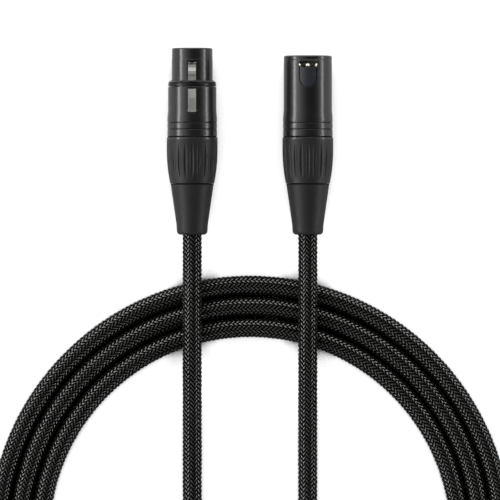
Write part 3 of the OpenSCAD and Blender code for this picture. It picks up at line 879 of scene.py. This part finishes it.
@dataclass
class Cable:
    """The braided cable: a dark core and a braid of yarn floats in 16 columns round it."""

    route: Route
    diameter: float = 0.0074
    core_r: float = 0.00315
    core_sides: int = 24
    core_step: float = 0.002
    tip_r: float = 0.0001
    tip_inset: float = 0.02
    exit: Point = (-0.02275, -0.0367, 0.010)
    length: float = 1.99
    columns: int = 16
    braid_pitch: float = 0.001755
    float_l: float = 0.0023
    float_w: float = 0.00108
    float_angle: float = 39.0
    overlap: float = 1.28
    crown: float = 0.00385
    dive: float = 0.00045
    arch: float = 0.00022
    fade: float = 0.7
    float_rows: int = 5
    float_lanes: int = 3
    row_start: float = 0.25
    narrowing: float = 0.25
    seed: int = 100
    vary_place: float = 0.00004
    vary_angle: float = 1.2
    vary_w: float = 0.04
    vary_crown: float = 0.00003
    tone: float = 0.45
    vary_tone: float = 0.13
    tone_reach: Span = (0.2, 0.85)
    cell_edge: float = 0.08
    yarn_run: float = 50.0
    core: bpy.types.Object | None = None
    braid: dict[Section, bpy.types.Object] = field(default_factory=dict)

    def build(self) -> None:
        """Makes the core and the five pieces of braid."""
        self.route.build()
        self.core = self._make_core()
        start = 0.0
        for number, section in enumerate(Section):
            end = self.route.marks[section]
            self.braid[section] = self._make_braid(section, number, start, end)
            start = end

    def _make_core(self) -> bpy.types.Object:
        """Makes the core as one tube with closed ends.

        Returns:
            The core.
        """
        total = self.route.length()
        along = np.linspace(0.0, total, int(total / self.core_step) + 1)
        turn = np.arange(self.core_sides) * 2.0 * math.pi / self.core_sides
        s, a = np.meshgrid(along, turn, indexing="ij")
        radius = np.full_like(s, self.core_r)
        radius[0] = radius[-1] = self.tip_r
        inset = self.tip_inset * along[1]
        s[0], s[-1] = inset, total - inset
        return mesh_object("cable_core", self.route.surface(s, a, radius), tube_faces(*s.shape))

    def _make_braid(self, section: Section, number: int, start: float, end: float) -> bpy.types.Object:
        """Makes the floats of one stretch.

        Args:
            section: The stretch.
            number: Its place in the row, which seeds its variation.
            start: Distance along the line where it starts.
            end: Distance where it ends.

        Returns:
            The piece of braid.
        """
        chance = np.random.default_rng(self.seed + number)
        first, last = math.ceil(start / self.braid_pitch), math.ceil(end / self.braid_pitch)
        rows, columns = np.meshgrid(np.arange(first, last), np.arange(self.columns), indexing="ij")
        rows, columns = rows.ravel(), columns.ravel()
        lean = np.where(columns % 2 == 0, 1.0, -1.0)
        middle_s = (rows + 0.5 * (columns % 2) + self.row_start) * self.braid_pitch
        middle_a = columns * 2.0 * math.pi / self.columns
        middle_s = middle_s + chance.normal(0.0, self.vary_place, len(rows))
        tilt = np.radians(self.float_angle + chance.normal(0.0, self.vary_angle, len(rows)))
        half_l = 0.5 * self.float_l * self.overlap
        half_w = 0.5 * self.float_w * (1.0 + chance.normal(0.0, self.vary_w, len(rows)))
        crown = self.crown + chance.normal(0.0, self.vary_crown, len(rows))
        t = np.linspace(-1.0, 1.0, self.float_rows)[None, :, None]
        w = np.linspace(-1.0, 1.0, self.float_lanes)[None, None, :]
        run, off = half_l * t, half_w[:, None, None] * w * (1.0 - self.narrowing * t**4)
        cos, sin = np.cos(tilt)[:, None, None], (np.sin(tilt) * lean)[:, None, None]
        s = middle_s[:, None, None] + run * cos - off * sin
        a = middle_a[:, None, None] + (run * sin + off * cos) / (self.diameter / 2.0)
        radius = crown[:, None, None] - (self.dive * t**2 + self.arch * w**2)
        points = self.route.surface(np.clip(s, 0.0, self.route.length()), a, radius)
        count, lanes = len(rows), self.float_lanes
        i, k = np.meshgrid(np.arange(self.float_rows - 1), np.arange(lanes - 1), indexing="ij")
        corner = (i * lanes + k).ravel()
        quad = np.stack([corner, corner + 1, corner + lanes + 1, corner + lanes], axis=1)
        faces = (np.arange(count) * self.float_rows * lanes)[:, None, None] + quad[None]
        piece = mesh_object(f"cable_braid_{section.value}", points, faces)
        self._add_maps(piece, count, chance)
        return piece

    def _add_maps(self, piece: bpy.types.Object, count: int, chance: np.random.Generator) -> None:
        """Gives each float its own cell of the bake map, its yarn coordinates and its tone.

        Args:
            piece: A piece of braid.
            count: Number of its floats.
            chance: Source of the variation.
        """
        t = np.repeat(np.linspace(0.0, 1.0, self.float_rows), self.float_lanes)
        w = np.tile(np.linspace(0.0, 1.0, self.float_lanes), self.float_rows)
        side = math.ceil(math.sqrt(count))
        cell = np.stack([np.arange(count) % side, np.arange(count) // side], axis=1)[:, None, :]
        own = np.stack([t, w], axis=1)[None]
        inner = self.cell_edge + (1.0 - 2.0 * self.cell_edge) * own
        yarn = own + chance.uniform(0.0, self.yarn_run, (count, 1, 2))
        add_map(piece, BAKE_MAP, ((cell + inner) / side).reshape(-1, 2))
        add_map(piece, YARN_MAP, yarn.reshape(-1, 2))
        level = np.clip(chance.normal(self.tone, self.vary_tone, count), *self.tone_reach)
        # Distance from the crest, which also grows towards the float's ends; the yarn's painted shade
        # darkens with it.
        from_crest = np.minimum(1.0, np.abs(2.0 * w - 1.0) + self.fade * (2.0 * t - 1.0) ** 2)
        for name, values in ((TONE, np.repeat(level, len(t))), (ACROSS, np.tile(from_crest, count))):
            layer = piece.data.attributes.new(name, "FLOAT", "POINT")
            layer.data.foreach_set("value", values.astype(np.float32))

    def dress(self, core: bpy.types.Material, yarn: bpy.types.Material) -> None:
        """Gives the core and the braid their finishes.

        Args:
            core: Finish of what shows between the floats.
            yarn: Finish of the floats.
        """
        paint(self.core, core)
        for piece in self.braid.values():
            paint(piece, yarn)

    def declare(self, tie: bpy.types.Object) -> None:
        """Lets the cable ride on the part and stand for the imported cable and leads.

        Args:
            tie: The tie that holds the coil; not used.
        """
        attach(self.core, "root")
        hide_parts("cable_coil", "female_lead", "male_lead")
        for piece in self.braid.values():
            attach(piece, "root")


@dataclass
class Tie:
    """The hook-and-loop tie: a band round the turns at the foot of the coil, with its free end on top."""

    middle: Point = (0.0, -0.2471, 0.0052)
    width: float = 0.016
    thickness: float = 0.0012
    corner: float = 0.0004
    edge_share: float = 0.35
    inside_w: float = 0.01875
    inside_h: float = 0.008
    tail_l: float = 0.014
    tail_steps: int = 18
    tail_sink: float = 0.95
    tip_lift: float = 0.0005
    lift_start: float = 0.004
    lift_l: float = 0.003
    narrow_start: float = 0.7
    narrowing: float = 0.6
    flat_steps: int = 14
    bend_steps: int = 24
    band: bpy.types.Object | None = None
    tail: bpy.types.Object | None = None

    def _strap(self, name: str, line: np.ndarray, out: np.ndarray, closed: bool) -> bpy.types.Object:
        """Sweeps the strap's flat section with rounded edges along a line in the YZ plane.

        Args:
            name: Name of the piece.
            line: N x 2 points of the strap's middle.
            out: N x 2 directions square to the strap.
            closed: Whether the line joins its own start.

        Returns:
            The strap.
        """
        half_w, half_t = self.width / 2.0, self.thickness / 2.0
        top = [-half_w + self.corner, -half_w * 0.5, 0.0, half_w * 0.5, half_w - self.corner]
        across = np.array([*top, half_w, half_w])
        high = np.array([1.0] * len(top) + [self.edge_share, -self.edge_share]) * half_t
        across, high = np.concatenate([across, -across]), np.concatenate([high, -high])
        points = np.empty((len(line), len(across), 3))
        points[..., 0] = self.middle[0] + across[None]
        points[..., 1] = self.middle[1] + line[:, 0:1] + out[:, 0:1] * high[None]
        points[..., 2] = self.middle[2] + line[:, 1:2] + out[:, 1:2] * high[None]
        return mesh_object(name, points, tube_faces(len(line), len(across), closed))

    def build(self) -> None:
        """Makes the band and its free end."""
        r = (self.inside_h + self.thickness) / 2.0
        flat = (self.inside_w - self.inside_h) / 2.0
        line, out = [], []
        for side in (1.0, -1.0):
            for y in np.linspace(-flat, flat, self.flat_steps, endpoint=False):
                line.append((side * y, side * r))
                out.append((0.0, side))
            for a in np.radians(np.linspace(90.0, -90.0, self.bend_steps, endpoint=False)):
                out.append((side * math.cos(a), side * math.sin(a)))
                line.append((side * (flat + r * math.cos(a)), side * r * math.sin(a)))
        self.band = self._strap("tie_band", np.array(line), np.array(out), True)
        self.tail = self._make_tail(r)

    def _make_tail(self, r: float) -> bpy.types.Object:
        """Makes the free end, which lies on the band and lifts a little at its tip.

        Args:
            r: Height of the band's middle above the tie's middle.

        Returns:
            The free end.
        """
        along = np.linspace(-self.tail_l / 2.0, self.tail_l / 2.0, self.tail_steps)
        lift = self.tip_lift * smoothstep((along - self.lift_start) / self.lift_l)
        line = np.stack([along, r + self.thickness * self.tail_sink + lift], axis=1)
        out = np.tile((0.0, 1.0), (len(along), 1))
        tail = self._strap("tie_tail", line, out, False)
        places = np.empty(len(tail.data.vertices) * 3, np.float32)
        tail.data.vertices.foreach_get("co", places)
        places = places.reshape(-1, 3)
        end = np.abs(places[:, 1] - self.middle[1]) / (self.tail_l / 2.0)
        near_tip = np.clip((end - self.narrow_start) / (1.0 - self.narrow_start), 0.0, 1.0)
        places[:, 0] *= np.sqrt(1.0 - near_tip**3 * self.narrowing)
        tail.data.vertices.foreach_set("co", places.ravel())
        tail.data.update()
        return tail

    def dress(self, finish: bpy.types.Material) -> None:
        """Gives the strap its finish."""
        for piece in (self.band, self.tail):
            paint(piece, finish)

    def declare(self) -> None:
        """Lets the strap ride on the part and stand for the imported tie."""
        for piece in (self.band, self.tail):
            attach(piece, "root")
        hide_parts("coil_tie")


@dataclass
class LatchSpring:
    """The helical spring under the latch's push tab, which shortens as the tab is pressed."""

    foot: Point = (-0.02275, 0.0168, 0.01445)
    height: float = 0.004
    coil_r: float = 0.001
    wire_r: float = 0.00015
    tip_share: float = 0.01
    curls: int = 5
    steps: int = 24
    sides: int = 8
    pressed_share: float = 0.86
    piece: bpy.types.Object | None = None

    def build(self) -> None:
        """Winds the wire round an upright axis, with its ends drawn to a point."""
        end = 2.0 * math.pi * self.curls
        turn = np.concatenate([[0.0], np.linspace(0.0, end, self.curls * self.steps + 1), [end]])[:, None]
        wire = np.full(turn.shape, self.wire_r)
        wire[0] = wire[-1] = self.tip_share * self.wire_r
        a = np.linspace(0.0, 2.0 * math.pi, self.sides, endpoint=False)[None]
        away = self.coil_r + wire * np.cos(a)
        rise = self.wire_r + (self.height - 2.0 * self.wire_r) * turn / end + wire * np.sin(a)
        points = np.stack([away * np.cos(turn), away * np.sin(turn), rise], axis=-1) + self.foot
        outward = tube_faces(len(turn), self.sides)[:, [0, 3, 2, 1]]
        self.piece = mesh_object("latch_spring_wire", points, outward)

    def dress(self, finish: bpy.types.Material) -> None:
        """Gives the wire its finish."""
        paint(self.piece, finish)

    def declare(self) -> None:
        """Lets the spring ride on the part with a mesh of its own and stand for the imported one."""
        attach(self.piece, "root")
        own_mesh(self.piece)
        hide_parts("female_latch_spring")


@dataclass
class Plug:
    """One plug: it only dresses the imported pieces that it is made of."""

    nodes: dict[str, bpy.types.Object]
    prefix: str
    finishes: dict[str, Finish]

    def dress(self, made: dict[str, bpy.types.Material]) -> None:
        """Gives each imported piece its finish.

        Args:
            made: Materials by finish name.
        """
        for name, finish in self.finishes.items():
            paint(self.nodes[f"{self.prefix}_{name}"], made[finish.name])


REAR_PIECES = {
    "shell": LACQUER,
    "insert": MOULDED,
    "ground_spring": SPRING,
    "chuck": CHUCK,
    "gland_nut": NUT,
    "boot": BOOT,
    "inner_sheath": SHEATH,
    "conductor_hot": RED,
    "conductor_cold": WHITE,
    "drain_wire": COPPER,
}
SOCKET_PIECES = REAR_PIECES | {
    "collar_ring": RING,
    "contact_1": CONTACT,
    "contact_2": CONTACT,
    "contact_3": CONTACT,
    "latch": SATIN,
    "latch_pin": SPRING,
}
PIN_PIECES = REAR_PIECES | {
    "window_plate": PLATE,
    "pin_1": CONTACT,
    "pin_2": CONTACT,
    "pin_3": CONTACT,
}


@dataclass(frozen=True)
class Box:
    """A soft box that looks at the plugs.

    It stands towards a direction on the floor and leans from the vertical. Its width is the angle that its
    height fills, and a radiance of 1 is white.
    """

    name: str
    towards: tuple[float, float]
    lean: float
    width: float
    radiance: float
    length: float = 4.0
    distance: float = 1.2
    shift: float = 0.2

    def add(self) -> None:
        """Adds the lamp to the scene."""
        high, away = math.cos(math.radians(self.lean)), math.sin(math.radians(self.lean))
        place = Vector((self.towards[0] * away, self.towards[1] * away, high)) * self.distance
        data = bpy.data.lights.new(self.name, "AREA")
        data.shape = "RECTANGLE"
        data.size = self.length
        data.size_y = 2.0 * self.distance * math.tan(math.radians(self.width / 2.0))
        data.energy = self.radiance * math.pi * data.size * data.size_y
        lamp = bpy.data.objects.new(self.name, data)
        lamp.location = place + Vector((0.0, self.shift, 0.0))
        lamp.rotation_euler = (-place).to_track_quat("-Z", "Y").to_euler()
        lamp.visible_camera = False
        bpy.context.scene.collection.objects.link(lamp)


@dataclass
class Studio:
    """Camera, floor and soft light."""

    target: Point = (0.0, -0.0427, 0.010)
    view_w: float = 0.1967
    distance: float = 3.0
    sensor_w: float = 36.0
    view_reach: Span = (0.01, 50.0)
    floor_side: float = 12.0
    floor_tone: float = 0.62
    floor_rough: float = 0.9
    white_share: float = 0.82
    white_level: float = 1.2
    gap_reach: float = 0.012
    gap_open: Span = (0.4, 0.55)
    boxes: tuple[Box, ...] = (
        Box("left_box", (-1.0, 0.0), 66.0, 9.0, 11.0),
        Box("right_box", (1.0, 0.0), 73.5, 5.5, 11.0),
    )

    def place_camera(self) -> None:
        """Sets the camera straight above the plugs, with +Y up in view."""
        data = bpy.data.cameras.new("camera")
        data.sensor_width = self.sensor_w
        data.lens = self.sensor_w * self.distance / self.view_w
        data.clip_start, data.clip_end = self.view_reach
        camera = bpy.data.objects.new("camera", data)
        camera.location = Vector(self.target) + Vector((0.0, 0.0, self.distance))
        bpy.context.scene.collection.objects.link(camera)
        bpy.context.scene.camera = camera
        log.info("camera: %d pixels for %.1f mm", IMAGE_SIDE, self.view_w * 1000)

    def lay_floor(self) -> None:
        """Lays a white floor that keeps the object's shadow and has painted shade that makes it black in
        the gaps between turns.
        """
        half = self.floor_side / 2.0
        ends = np.array([(-half, -half, 0), (half, -half, 0), (half, half, 0), (-half, half, 0)], float)
        floor = mesh_object("floor", ends, np.array([[0, 1, 2, 3]]))
        graph = Graph("white_floor")
        # Painted shade: an occlusion mask darkens the floor's colour and takes away its white where it is
        # hemmed in, as in the gaps between turns.
        sky = graph.add("ShaderNodeAmbientOcclusion", samples=8)
        graph.put(self.gap_reach, sky.inputs["Distance"])
        clear = graph.scale(sky.outputs["AO"], self.gap_open, WHOLE)
        graph.set("Roughness", self.floor_rough)
        graph.set("Specular IOR Level", 0.0)
        graph.set("Base Color", graph.reckon("MULTIPLY", clear, self.floor_tone))
        plain = graph.add("ShaderNodeEmission")
        graph.put(grey(1.0), plain.inputs["Color"])
        graph.put(self.white_level, plain.inputs["Strength"])
        seen = graph.add("ShaderNodeLightPath").outputs["Is Camera Ray"]
        white = graph.reckon("MULTIPLY", clear, self.white_share)
        mix = graph.add("ShaderNodeMixShader")
        graph.put(graph.reckon("MULTIPLY", seen, white), mix.inputs["Fac"])
        graph.put(graph.shader.outputs[0], mix.inputs[1])
        graph.put(plain.outputs[0], mix.inputs[2])
        graph.put(mix.outputs[0], graph.output.inputs["Surface"])
        paint(floor, graph.material)

    def light(self) -> None:
        """Adds the strip boxes and the surround."""
        for box in self.boxes:
            box.add()
        bpy.context.scene.world = Surround().make()
        bpy.context.scene.view_settings.view_transform = "Standard"


@dataclass(frozen=True)
class Surround:
    """A tent along the plugs: dark overhead, brighter to the sides, most to the left, with lit ends."""

    name: str = "surround"
    top_level: float = 6.0
    bright_side: tuple[Span, ...] = (
        (0.0, 0.05),
        (12.0, 0.30),
        (22.0, 0.50),
        (31.0, 0.87),
        (41.0, 1.45),
        (52.0, 1.9),
        (60.0, 2.0),
        (72.0, 1.0),
        (80.0, 0.6),
    )
    dim_side: tuple[Span, ...] = (
        (0.0, 0.05),
        (36.0, 0.07),
        (47.0, 0.3),
        (57.0, 0.8),
        (68.0, 1.5),
        (82.0, 0.8),
    )
    back_level: float = 4.5
    front_level: float = 0.9
    end_reach: Span = (0.5, 0.8)

    def _ends(self, tree: Tree, along: Socket, base: Socket) -> Socket:
        """Adds the light that comes from beyond the ends of the plugs.

        Args:
            tree: The world's node tree.
            along: A direction's share along Y.
            base: The colour that the directions across the plugs have.

        Returns:
            A colour socket, as a share of the top level.
        """
        start, full = self.end_reach
        for sign, level in ((1.0, self.back_level), (-1.0, self.front_level)):
            reach = tree.scale(along, (sign * start, sign * full), WHOLE, interpolation_type="SMOOTHSTEP")
            base = tree.mix(reach, base, grey(level / self.top_level))
        return base

    def _ramp(self, tree: Tree, height: Socket, side: tuple[Span, ...]) -> Socket:
        """Turns a direction's height into brightness.

        Args:
            tree: The world's node tree.
            height: Cosine of the angle from the vertical, in the plane across the plugs.
            side: Angles from the vertical in degrees, each with its brightness.

        Returns:
            A colour socket, as a share of the top level.
        """
        ramp = tree.add("ShaderNodeValToRGB")
        stops = sorted((math.cos(math.radians(angle)), level) for angle, level in side)
        elements = ramp.color_ramp.elements
        while len(elements) < len(stops):
            elements.new(0.5)
        # The places first, so that no stop ever has to change its turn in the ramp.
        for element, (place, _) in zip(elements, stops):
            element.position = place
        for element, (place, level) in zip(elements, stops):
            element.position = place
            element.color = (*grey(level / self.top_level), 1.0)
        tree.put(height, ramp.inputs["Fac"])
        return ramp.outputs["Color"]

    def make(self) -> bpy.types.World:
        """Builds the surround, which the camera sees as plain white.

        Returns:
            The world.
        """
        world = bpy.data.worlds.new(self.name)
        world.use_nodes = True
        tree = Tree(world.node_tree)
        towards = tree.add("ShaderNodeTexCoord").outputs["Generated"]
        section = tree.add("ShaderNodeVectorMath", operation="MULTIPLY")
        tree.put(towards, section.inputs[0])
        tree.put((1.0, 0.0, 1.0), section.inputs[1])
        level = tree.add("ShaderNodeVectorMath", operation="NORMALIZE")
        tree.put(section.outputs["Vector"], level.inputs[0])
        across, height = (tree.part(level.outputs["Vector"], axis) for axis in "XZ")
        left = tree.reckon("LESS_THAN", across, 0.0)
        ramps = [self._ramp(tree, height, side) for side in (self.dim_side, self.bright_side)]
        sides = tree.mix(left, *ramps)
        dim = tree.add("ShaderNodeBackground")
        tree.put(self._ends(tree, tree.part(towards, "Y"), sides), dim.inputs["Color"])
        tree.put(self.top_level, dim.inputs["Strength"])
        white = tree.add("ShaderNodeBackground")
        tree.put(grey(1.0), white.inputs["Color"])
        tree.put(1.0, white.inputs["Strength"])
        mix = tree.add("ShaderNodeMixShader")
        tree.put(tree.add("ShaderNodeLightPath").outputs["Is Camera Ray"], mix.inputs["Fac"])
        tree.put(dim.outputs[0], mix.inputs[1])
        tree.put(white.outputs[0], mix.inputs[2])
        tree.put(mix.outputs[0], tree.add("ShaderNodeOutputWorld").inputs["Surface"])
        return world


def main() -> None:
    """Builds and dresses the cable and its plugs, and lights them."""
    logging.basicConfig(level=logging.INFO, format="%(message)s")
    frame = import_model()
    studio = Studio()
    studio.place_camera()
    cable = Cable(Route())
    cable.build()
    log.info("cable: %.3f m", cable.route.length())
    tie = Tie()
    tie.build()
    finishes = dict.fromkeys([*SOCKET_PIECES.values(), *PIN_PIECES.values()])
    made = {finish.name: finish.make() for finish in finishes}
    cable.dress(made[SHEATH.name], YarnFinish().make())
    tie.dress(StrapFinish().make())
    tie.declare()
    cable.declare(tie.band)
    spring = LatchSpring()
    spring.build()
    spring.dress(made[SPRING.name])
    spring.declare()
    Plug(frame["nodes"], "female", SOCKET_PIECES).dress(made)
    Plug(frame["nodes"], "male", PIN_PIECES).dress(made)
    studio.lay_floor()
    studio.light()


if __name__ == "__main__":
    main()
